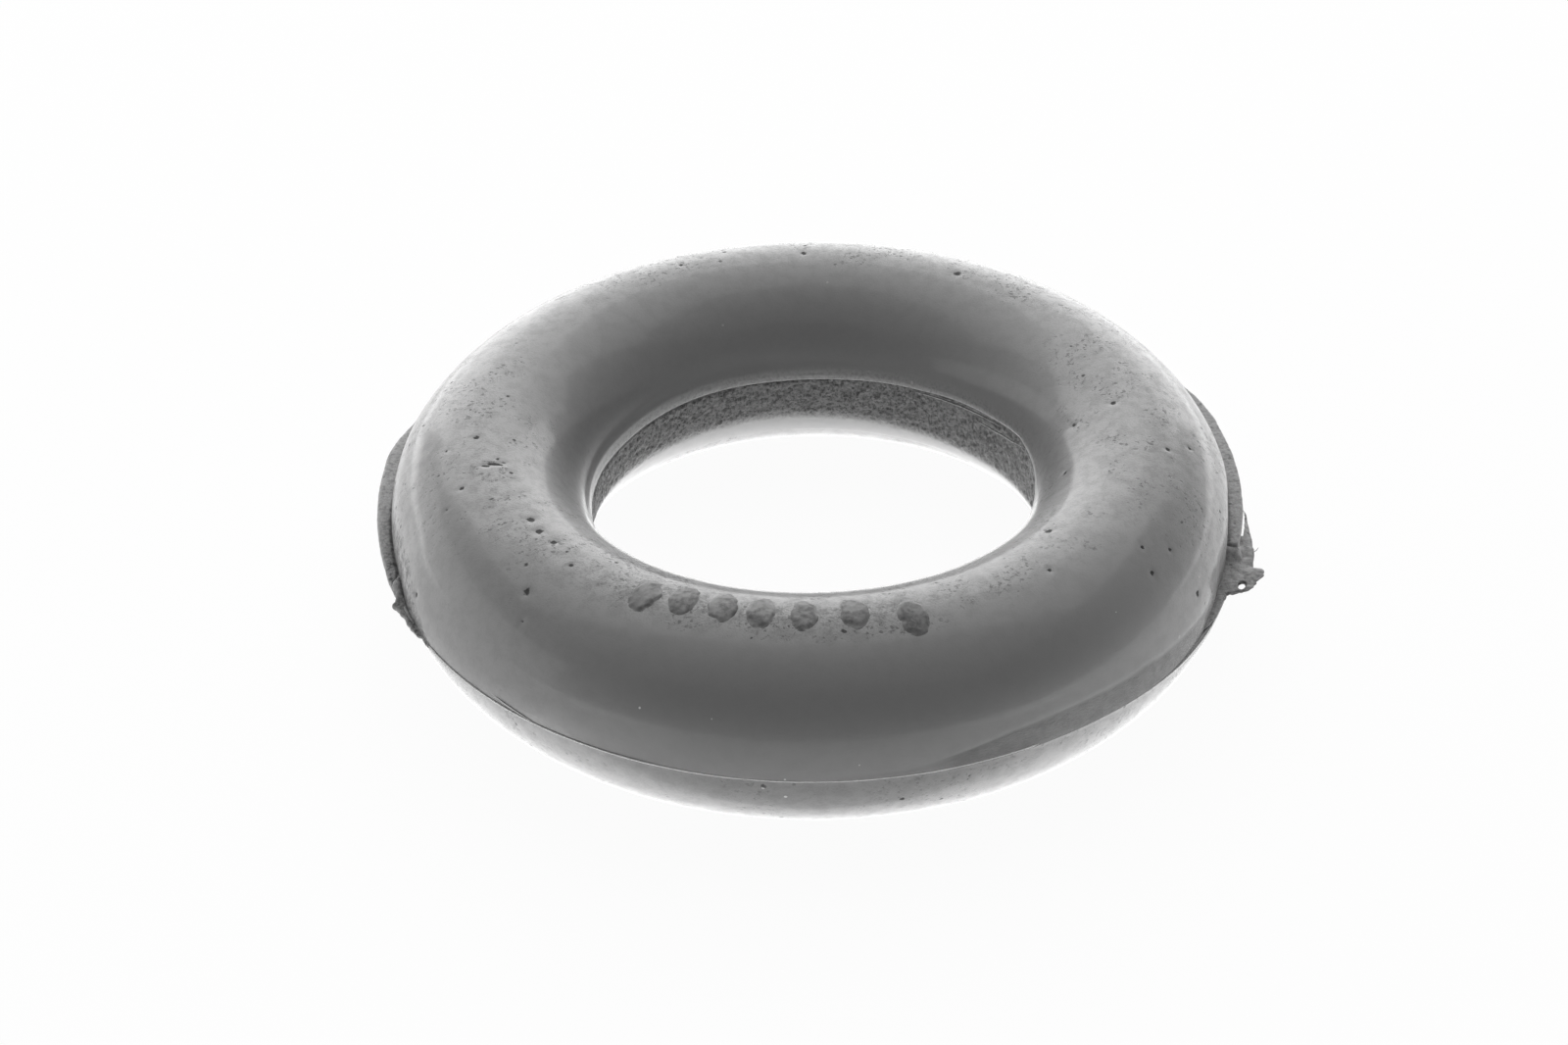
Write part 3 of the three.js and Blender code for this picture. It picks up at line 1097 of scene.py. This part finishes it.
@dataclass
class TornSheet:
    """The thin sheet under the bead's end, with its torn tag and the hole in it."""

    form: RingForm
    material: bpy.types.Material
    thickness: float = 0.34
    middle: float = -0.95
    columns: int = 420
    rows: int = 40
    hole_degrees: float = -16.5
    hole_reach: float = 1.15
    hole_half_length: float = 0.36
    hole_half_width: float = 0.18
    slit: tuple[float, float] = (-5.4, 0.9)
    tattered: Stops = ((-20.0, 0.0), (-18.5, 1.0), (-12.5, 1.0), (-11.0, 0.0))
    edge: Stops = (
        (-28.0, -0.1), (-26.0, 0.12), (-24.6, 0.28), (-23.7, 0.34), (-22.9, 0.31), (-21.9, 0.24),
        (-20.9, 0.22), (-19.7, 0.27), (-18.8, 0.37), (-18.3, 0.55), (-18.15, 1.0), (-18.0, 1.32),
        (-17.6, 1.42), (-17.3, 1.65), (-16.8, 1.86), (-15.7, 2.06), (-14.5, 2.27), (-13.8, 2.45),
        (-12.9, 2.42), (-12.4, 2.2), (-12.2, 1.85), (-12.0, 1.64), (-11.0, 1.59), (-9.4, 1.6),
        (-8.0, 1.58), (-7.5, 1.48), (-6.1, 1.44), (-4.5, 1.34), (-3.5, 1.26), (-1.7, 1.2), (-0.2, 1.21),
        (0.9, 1.08), (4.0, 0.4),
    )

    def build(self) -> bpy.types.Object:
        """Build the sheet and dress it.

        Returns:
            The finished piece.
        """
        form = self.form
        degrees = np.linspace(self.edge[0][0], self.edge[-1][0], self.columns)[:, None]
        line = ring_points(degrees[:, 0], form.outer_radius, 0.0)
        tattered = 0.05 + 0.16 * between(degrees[:, 0], self.tattered)
        reach = between(degrees[:, 0], self.edge) + tattered * Lumps(31).rough(line, 0.45, 3)
        share = np.linspace(0.0, 1.0, self.rows)[None, :]
        root = form.outer_radius - 1.0
        radius = root + (form.outer_radius + reach[:, None] - root) * share
        along = np.radians(degrees - self.hole_degrees) * radius
        across = radius - form.outer_radius - self.hole_reach
        spread = np.hypot(along / self.hole_half_length, across / self.hole_half_width)
        push = np.where(spread < 1.6, np.clip((1.6 - spread) / 1.6, 0.0, 1.0), 0.0)
        grow = 1.0 + 0.6 * push / np.maximum(spread, 0.2)
        degrees = self.hole_degrees + (degrees - self.hole_degrees) * grow
        shred = Lumps(34).rough(ring_points(degrees, radius, 0.0), 0.4, 3) * eased(share, 0.35, 0.7)
        degrees = degrees + 0.55 * shred * np.exp(-(((degrees + 18.3) / 0.9) ** 2))
        radius = form.outer_radius + self.hole_reach + across * grow
        tip = eased(radius - form.outer_radius, 0.9, 2.5) * eased(-degrees, 10.0, 13.5)
        fold = np.exp(-(((degrees + 11.6) / 0.8) ** 2)) * eased(radius - form.outer_radius, 0.5, 1.5)
        raised = np.exp(-(((degrees + 10.0) / 1.5) ** 2))
        raised = raised * (1.0 - eased(radius - form.outer_radius, 0.3, 0.9))
        flat = ring_points(degrees, radius, 0.0)
        curl = self.middle + 0.25 * tip - 0.12 * fold + 0.68 * raised + 0.07 * Lumps(32).rough(flat, 0.9, 3)
        half = 0.5 * self.thickness * (1.0 - 0.75 * eased(share, 0.82, 1.0))
        half = half * (1.0 + 0.3 * Lumps(33).at(flat, 0.7))
        half = half * (0.12 + 0.88 * eased(spread, 1.0, 1.7))
        over = ring_points(degrees, radius, curl + half)
        under = ring_points(degrees, radius, curl - half)
        points = np.concatenate((over, under[:, ::-1]), 1)
        inside = spread < 1.0
        slit = np.abs(radius - form.outer_radius - between(degrees, BEAD_REACH) - 0.07)
        inside |= (slit < 0.06) & (degrees > self.slit[0]) & (degrees < self.slit[1])
        cells = inside[:-1, :-1] | inside[1:, :-1] | inside[:-1, 1:] | inside[1:, 1:]
        seam = np.zeros((cells.shape[0], 1), bool)
        hidden = np.concatenate((cells, seam, cells[:, ::-1], seam), 1)
        piece = grid_object("torn_sheet_and_tag", points, hidden=hidden)
        return seat(piece, self.material)


@dataclass
class FineRidge:
    """A fine raised line that an edge of the mould left."""

    form: RingForm
    material: bpy.types.Material
    name: str
    height: Stops
    reach: tuple[float, float]
    out: float = 0.0
    shifted: float = 0.0
    size: float = 0.07
    columns: int = 900
    sides: int = 8

    def build(self) -> bpy.types.Object:
        """Build the ridge and dress it.

        Returns:
            The finished piece.
        """
        form = self.form
        degrees = np.linspace(*self.reach, self.columns)
        height = around(degrees, self.height)
        moved = np.maximum(self.shifted * np.cos(np.radians(degrees)), 0.0)
        radius = form.wall(height, True) + moved + self.out
        line = ring_points(degrees, radius, height)
        uneven = 1.0 + 0.45 * Lumps(51).rough(line, 1.1, 3)
        ends = eased(np.minimum(degrees - degrees[0], degrees[-1] - degrees), 0.0, 2.0)
        size = self.size * np.clip(uneven, 0.3, None) * (0.1 + 0.9 * ends)
        turn = np.linspace(0.0, 2.0 * np.pi, self.sides, endpoint=False)
        radius = radius[:, None] + size[:, None] * np.cos(turn)
        height = height[:, None] + size[:, None] * np.sin(turn)
        points = ring_points(degrees[:, None], radius, height)
        return seat(grid_object(self.name, points, capped=True), self.material)


@dataclass(frozen=True)
class Strand:
    """A thin tapering thread or shred of rubber."""

    places: tuple[tuple[float, float, float], ...]
    width: float
    blunt: float = 0.15


@dataclass
class Shreds:
    """Thin threads and ragged shreds at the torn places."""

    form: RingForm
    material: bpy.types.Material
    name: str
    strands: tuple[Strand, ...]
    steps: int = 26
    sides: int = 10
    raggedness: float = 0.35

    def _tube(self, strand: Strand) -> np.ndarray:
        """Sweep one strand along its places, each of which is angle, radius and height.

        Args:
            strand: the strand to sweep.

        Returns:
            A ring of points for each step.
        """
        stops = np.array(strand.places)
        share = np.linspace(0.0, 1.0, self.steps)
        marks = np.linspace(0.0, 1.0, len(stops))
        line = np.stack([np.interp(share, marks, stops[:, k]) for k in range(3)], -1)
        path = ring_points(line[:, 0], line[:, 1], line[:, 2])
        for _ in range(2):
            path[1:-1] = (path[:-2] + 2.0 * path[1:-1] + path[2:]) / 4.0
        ahead = np.gradient(path, axis=0)
        ahead /= np.linalg.norm(ahead, axis=1, keepdims=True)
        outward = path * np.array((1.0, 1.0, 0.0))
        outward /= np.linalg.norm(outward, axis=1, keepdims=True)
        side = np.cross(ahead, outward)
        side /= np.linalg.norm(side, axis=1, keepdims=True)
        facing = np.cross(side, ahead)
        taper = np.sin(np.pi * np.clip(share * (1.0 - strand.blunt) + strand.blunt, 0.0, 1.0)) ** 0.6
        taper = np.clip(taper, 0.06, None)[:, None, None]
        turn = np.linspace(0.0, 2.0 * np.pi, self.sides, endpoint=False)[None, :, None]
        ring = np.cos(turn) * facing[:, None] + np.sin(turn) * side[:, None]
        uneven = 1.0 + self.raggedness * Lumps(41).rough(path[:, None] + ring * 0.3, 0.25, 2)[..., None]
        return path[:, None] + ring * taper * uneven * strand.width / 2.0

    def build(self) -> bpy.types.Object:
        """Build all the strands as one piece and dress it."""
        parts = [grid_object(self.name, self._tube(s), capped=True) for s in self.strands]
        return seat(joined(parts, self.name), self.material)


@dataclass
class CrownPads:
    """The row of plain raised pads along the near crown."""

    form: RingForm
    material: bpy.types.Material
    angles: tuple[float, ...] = (-117.0, -110.8, -104.2, -97.8, -91.2, -83.1, -74.2)
    radii: tuple[float, ...] = (24.1, 23.5, 23.6, 23.7, 23.8, 23.8, 24.9)
    width: float = 2.35
    length: float = 3.7
    height: float = 0.1
    sides: int = 56
    rings: int = 20

    def _pad(self, degrees: float, middle: float) -> tuple[np.ndarray, np.ndarray]:
        """Shape one pad, a low rounded plateau that follows the crown.

        Args:
            degrees: the pad's angle round the ring.
            middle: its distance from the ring's axis.

        Returns:
            Its grid of points, from its buried foot to the middle of its top, and how dark each is, with
            shade painted at its near edge.
        """
        turn = np.linspace(0.0, 2.0 * np.pi, self.sides, endpoint=False)[None, :]
        share = np.linspace(1.0, 0.0, self.rings)[:, None]
        square = 1.0 / (np.abs(np.cos(turn)) ** 3.2 + np.abs(np.sin(turn)) ** 3.2) ** (1.0 / 3.2)
        out = share**0.8 * square
        radius = middle + out * np.cos(turn) * self.length / 2.0
        sideways = out * np.sin(turn) * self.width / 2.0
        angle = degrees + np.degrees(sideways / middle)
        share_in = np.clip((radius - self.form.middle_radius) / self.form.half_width, -0.99, 0.99)
        skin = self.form.half_height * (1.0 - np.abs(share_in) ** self.form.power) ** (1.0 / self.form.power)
        flat = ring_points(angle, radius, 0.0)
        rim = 1.0 + 0.35 * Lumps(61).rough(flat, 0.9, 3)
        rise = self.height * (1.0 - eased(out, 0.62 * rim, 0.86 * rim)) - 0.1 * eased(out, 0.85, 1.0)
        patch = Lumps(63).rough(flat, 0.8, 3)
        crumbs = Lumps(62).rough(flat, 0.35, 3)
        # Painted shade: each pad's rim on the camera's side is darkened; the patches and crumbs are the pad's
        # own mottled grime.
        near = eased(out * np.cos(turn), 0.1, 0.6)
        dark = eased(patch + 0.5 * crumbs, -0.15, 0.3) + 0.5 * near * eased(crumbs, -0.3, 0.1)
        dark = np.clip(dark, 0.0, 1.0)
        return ring_points(angle, radius, skin + rise * (1.0 + 0.25 * patch) + 0.02 * crumbs), 0.5 * dark

    def build(self) -> bpy.types.Object:
        """Build the pads as one piece and dress it.

        Returns:
            The finished piece.
        """
        pads = [self._pad(a, r) for a, r in zip(self.angles, self.radii)]
        parts = [grid_object("crown_pads", grid, marks={"dark": dark}) for grid, dark in pads]
        return seat(joined(parts, "crown_pads"), self.material)


class Side(Enum):
    """Where a lamp stands."""

    BACK_LOW = "back_low"
    BACK_LEFT = "back_left"
    BACK_RIGHT = "back_right"
    LEFT = "left"
    TOP_BACK = "top_back"
    TOP_FRONT = "top_front"
    FLOOR_BACK = "floor_back"
    FLOOR_LEFT = "floor_left"
    FLOOR_RIGHT = "floor_right"
    FLOOR_FRONT = "floor_front"
    FLOOR_CLOSE = "floor_close"
    FLOOR_MIDDLE = "floor_middle"


@dataclass(frozen=True)
class Softbox:
    """A large flat lamp."""

    side: Side
    centre: tuple[float, float, float]
    target: tuple[float, float, float]
    width: float
    height: float
    radiance: float

    def build(self) -> bpy.types.Object:
        """Place the lamp, facing its target.

        Returns:
            The lamp.
        """
        data = bpy.data.lights.new("softbox_" + self.side.value, "AREA")
        data.shape = "RECTANGLE"
        data.size = self.width
        data.size_y = self.height
        data.energy = self.radiance * math.pi * self.width * self.height
        lamp = placed(data.name, data)
        lamp.location = self.centre
        facing = Vector(self.target) - Vector(self.centre)
        lamp.rotation_mode = "QUATERNION"
        lamp.rotation_quaternion = facing.to_track_quat("-Z", "Y")
        lamp.visible_camera = False
        return lamp


@dataclass
class Studio:
    """The pale floor, the plain soft light and the camera."""

    floor_size: float = 8.0
    floor_white: float = 0.9
    floor_glow: float = 0.95
    world_diffuse: float = 0.15
    near_side: float = 0.6
    lens: float = 72.11
    elevation: float = 34.674
    roll: float = -0.472
    distance_mm: float = 231.371
    shift: tuple[float, float] = (-0.01631, -0.00981)
    lamps: tuple[Softbox, ...] = field(
        default_factory=lambda: (
            Softbox(Side.BACK_LOW, (0.0, 0.6, 0.125), (0.0, 0.0, 0.125), 0.84, 0.25, 3.1),
            Softbox(Side.BACK_LEFT, (-0.1825, 0.6, 0.475), (-0.1825, 0.0, 0.475), 0.835, 0.45, 2.3),
            Softbox(Side.BACK_RIGHT, (0.4675, 0.6, 0.475), (0.4675, 0.0, 0.475), 0.465, 0.45, 0.95),
            Softbox(Side.LEFT, (-0.6, 0.15, 0.125), (0.0, 0.15, 0.125), 0.9, 0.25, 1.2),
            Softbox(Side.TOP_BACK, (0.0, 0.42, 0.8), (0.0, 0.42, 0.0), 1.7, 0.8, 1.2),
            Softbox(Side.TOP_FRONT, (0.0, -0.38, 0.8), (0.0, -0.38, 0.0), 1.7, 0.8, 0.36),
            Softbox(Side.FLOOR_BACK, (0.0, 0.33, -0.008), (0.0, 0.33, 1.0), 1.2, 0.54, 2.5),
            Softbox(Side.FLOOR_LEFT, (-0.33, 0.0, -0.008), (-0.33, 0.0, 1.0), 0.54, 0.24, 1.05),
            Softbox(Side.FLOOR_RIGHT, (0.33, 0.0, -0.008), (0.33, 0.0, 1.0), 0.54, 0.24, 1.4),
            Softbox(Side.FLOOR_FRONT, (0.0, -0.21, -0.008), (0.0, -0.21, 1.0), 0.4, 0.3, 0.75),
            Softbox(Side.FLOOR_CLOSE, (0.0, 0.0, -0.008), (0.0, 0.0, 1.0), 0.12, 0.12, 0.75),
            Softbox(Side.FLOOR_MIDDLE, (0.0, 0.0, -0.00798), (0.0, 0.0, 1.0), 0.06, 0.06, 1.35),
        )
    )

    def _floor(self) -> None:
        """Lay the floor, white to the eye and in reflections, with a little of its shadow kept."""
        half = self.floor_size / 2.0
        low = CAD_BOX[0].z - 0.0002
        mesh = bpy.data.meshes.new("studio_floor")
        corners = [(-half, -half, low), (half, -half, low), (half, half, low), (-half, half, low)]
        mesh.from_pydata(corners, [], [(0, 1, 2, 3)])
        floor = placed("studio_floor", mesh)
        made, g = new_material("studio_white")
        path = g.node("ShaderNodeLightPath")
        seen = path.out("Is Camera Ray").larger(path.out("Is Glossy Ray"))
        seen = seen.larger(path.out("Is Transmission Ray"))
        white = (self.floor_white, self.floor_white, self.floor_white, 1.0)
        lit = g.node("ShaderNodeBsdfDiffuse", {}, {"Color": white})
        glow = g.node("ShaderNodeEmission", {}, {"Color": (1.0, 1.0, 1.0, 1.0), "Strength": 1.0})
        both = g.node("ShaderNodeMixShader", {}, [seen * self.floor_glow, lit.out(), glow.out()])
        g.node("ShaderNodeOutputMaterial", {}, [both.out()])
        mesh.materials.append(made)

    def _world(self) -> None:
        """Surround the part with white, dimmer on the camera's side, where the room is."""
        world = bpy.data.worlds.new("studio_world")
        bpy.context.scene.world = world
        world.use_nodes = True
        g = Graph(world.node_tree)
        path = g.node("ShaderNodeLightPath")
        direction = g.node("ShaderNodeSeparateXYZ", {}, [g.node("ShaderNodeTexCoord").out("Generated")])
        dim = direction.out("Y").above(-0.6, 0.3) * (1.0 - self.near_side) + self.near_side
        eye = path.out("Is Camera Ray").larger(path.out("Is Transmission Ray"))
        mirrored = path.out("Is Glossy Ray")
        level = dim * (mirrored * (1.0 - self.world_diffuse) + self.world_diffuse)
        level = eye + (1.0 - eye) * level
        back = g.node("ShaderNodeBackground", {}, {"Color": (1.0, 1.0, 1.0, 1.0), "Strength": level})
        g.node("ShaderNodeOutputWorld", {}, [back.out()])

    def _camera(self) -> None:
        """Stand the camera where the photograph was taken."""
        tilt, turn = math.radians(self.elevation), math.radians(self.roll)
        back = Vector((0.0, -math.cos(tilt), math.sin(tilt)))
        up = Vector((0.0, math.sin(tilt), math.cos(tilt)))
        right = Vector((1.0, 0.0, 0.0))
        across = right * math.cos(turn) + up * math.sin(turn)
        upward = up * math.cos(turn) - right * math.sin(turn)
        data = bpy.data.cameras.new("camera")
        data.sensor_width = 36.0
        data.lens = self.lens
        data.shift_x, data.shift_y = self.shift
        data.clip_start = 0.01
        camera = placed("camera", data)
        turned = Matrix((across, upward, back)).transposed().to_4x4()
        camera.matrix_world = Matrix.Translation(back * self.distance_mm * MM) @ turned
        bpy.context.scene.camera = camera

    def build(self) -> None:
        """Set up the floor, the lamps, the world and the camera."""
        self._floor()
        for lamp in self.lamps:
            lamp.build()
        self._world()
        self._camera()
        bpy.context.scene.view_settings.view_transform = "Standard"


BLEMISHES = tuple(
    Blemish(*spot)
    for spot in (
        ((-22.2, -5.7, 7.88), 0.72, (1.0, 0.26, 1.0)), ((-22.85, -5.95, 7.88), 0.3, (1.2, 0.6, 1.0)),
        ((-21.65, -5.35, 7.88), 0.25, (1.2, 0.8, 1.0)), ((-22.1, -5.0, 7.88), 0.18),
        ((-29.41, -3.3, 4.5), 0.2), ((-29.36, -6.19, 3.83), 0.16), ((-27.62, -13.41, 2.1), 0.3),
        ((-23.83, -2.29, 7.91), 0.28), ((-17.48, -15.36, 7.91), 0.3), ((-16.11, -18.02, 7.89), 0.22),
        ((-24.4, -8.21, 7.54), 0.22), ((-25.96, -3.23, 7.38), 0.15), ((-25.41, -9.8, 6.81), 0.15),
        ((28.79, 1.81, 5.46), 0.18), ((22.14, 1.78, 7.76), 0.25), ((25.59, -3.92, 7.48), 0.25),
        ((27.33, -2.58, 6.67), 0.2), ((22.79, -14.97, 6.79), 0.2), ((24.85, -13.94, 5.82), 0.2),
        ((23.39, -16.5, 5.69), 0.24), ((26.94, -14.51, 2.44), 0.3), ((-0.29, 23.58, 7.92), 0.28),
        ((11.62, 20.21, 7.91), 0.34), ((-9.87, 21.96, 7.9), 0.24), ((5.96, -29.85, -2.89), 0.24),
        ((-19.2, -12.61, 7.88), 0.35), ((-18.56, -14.08, 7.91), 0.36), ((-19.12, -19.54, 6.83), 0.36),
        ((-19.39, -21.26, 5.65), 0.2), ((19.22, 1.0, 6.43), 0.26), ((18.14, -4.52, 5.95), 0.3),
        ((16.38, -14.06, 7.63), 0.32), ((16.12, -18.9, 7.8), 0.2),
    )
)

TORN_END = (
    Strand(
        ((195.4, 30.5, -0.3), (197.6, 30.85, -0.2), (199.6, 30.9, -0.35), (201.2, 30.6, -0.5)),
        0.75,
        0.2,
    ),
    Strand(
        ((199.6, 30.8, -0.6), (202.2, 30.95, -0.45), (205.0, 30.9, -0.45), (208.2, 30.7, -0.6)),
        0.45,
        0.2,
    ),
)

TORN_THREADS = (
    Strand(((-8.9, 32.5, -0.85), (-8.6, 32.75, -0.75), (-8.2, 32.9, -0.6)), 0.06, 0.4),
)

PARTING_REACH = (-150.0, -60.0)
CROSS_REACH = (-134.5, -127.0)
CROSS_LINE: Stops = ((-134.5, 0.12), (-131.0, -0.08), (-127.0, -0.34))

MATT_FLASH = TornRubber(
    "matt_flash_rubber", grey=0.13, roughness=0.55, grain_mm=0.3, relief_mm=0.05, fleck=0.16, pitted=0.4
)
# Pale grey on the fine ridges: a highlight painted along the parting and crossing lines.
HIGHLIGHT_RIDGE = TornRubber(
    "highlight_ridge_rubber", grey=0.5, roughness=0.6, grain_mm=0.3, relief_mm=0.02, fleck=0.2, pitted=0.05
)
# Dark mottled rubber for the pads; their dark mark holds the pads' own grime and shade painted at each pad's
# near edge.
GRIMY_SHADED_PAD = TornRubber(
    "grimy_shaded_pad_rubber", grey=0.05, roughness=0.5, grain_mm=0.4, relief_mm=0.015, fleck=0.04, pitted=0.15
)

SPECKLED = (
    (
        40.0,
        (
            (-170, 0.5), (-150, 0.2), (-130, 0.15), (-110, 0.02), (-40, 0.02), (-30, 0.3), (-10, 0.6),
            (10, 0.6), (40, 0.9), (120, 0.9), (150, 0.5),
        ),
    ),
    (
        66.0,
        (
            (-170, 0.4), (-150, 0.35), (-130, 0.3), (-110, 0.05), (-40, 0.1), (-30, 0.3), (-10, 0.8),
            (10, 0.9), (40, 0.9), (120, 0.9), (150, 0.7),
        ),
    ),
    (
        88.0,
        (
            (-170, 0.9), (-150, 1.1), (-130, 1.0), (-122, 1.6), (-110, 2.0), (-76, 2.0), (-68, 0.8),
            (-50, 0.5), (-10, 0.6), (40, 0.7), (120, 0.7), (150, 0.5),
        ),
    ),
    (
        106.0,
        (
            (-170, 0.7), (-150, 0.7), (-130, 0.5), (-118, 0.8), (-80, 0.7), (-68, 0.4), (-50, 0.4),
            (-30, 0.6), (10, 0.7), (40, 0.2), (150, 0.15), (170, 0.3),
        ),
    ),
    (
        140.0,
        (
            (-170, 0.3), (-130, 0.4), (-50, 0.4), (-10, 0.6), (10, 0.2), (40, 0.1), (150, 0.1),
        ),
    ),
)

BORE_THREADS = (
    Strand(((60.0, 16.62, 0.75), (48.0, 16.6, 1.0), (38.0, 16.62, 1.25), (28.0, 16.66, 1.6)), 0.14, 0.1),
    Strand(((40.0, 16.66, 0.5), (32.0, 16.62, 0.75), (24.0, 16.66, 1.2), (16.0, 16.75, 1.9)), 0.14, 0.1),
)


def main() -> None:
    """Build every piece in order."""
    logging.basicConfig(level=logging.INFO, format="%(name)s: %(message)s")
    form = RingForm()
    skin = MouldedRubber(blemishes=BLEMISHES).material()
    torn = TornRubber().material()
    matt = MATT_FLASH.material()
    ridge_highlight = HIGHLIGHT_RIDGE.material()
    MouldHalf(form, skin, upper=True, columns=900, rows=104, dents=BLEMISHES, speckled=SPECKLED).build()
    MouldHalf(form, skin, upper=False, columns=720, rows=60).build()
    BoreLand(form, skin).build()
    FineRidge(
        form,
        ridge_highlight,
        "parting_ridge",
        form.parting,
        PARTING_REACH,
        out=-0.015,
        shifted=form.mould_shift,
        size=0.055,
    ).build()
    FineRidge(form, ridge_highlight, "crossing_ridge", CROSS_LINE, CROSS_REACH, out=-0.01, size=0.035).build()
    FlashBead(form, matt, "flash_bead", BEAD_REACH).build()
    FlashBead(
        form,
        torn,
        "torn_fringe",
        FRINGE_REACH,
        thickness=0.6,
        root=30.2,
        columns=240,
        droop=0.0,
        uneven=0.1,
        fine=0.08,
    ).build()
    TornSheet(form, matt).build()
    Shreds(form, torn, "torn_bead_end", TORN_END).build()
    Shreds(form, matt, "torn_threads", TORN_THREADS, raggedness=0.15).build()
    Shreds(form, matt, "bore_threads", BORE_THREADS, steps=60, raggedness=0.25).build()
    CrownPads(form, GRIMY_SHADED_PAD.material()).build()
    Studio().build()


if __name__ == "__main__":
    main()
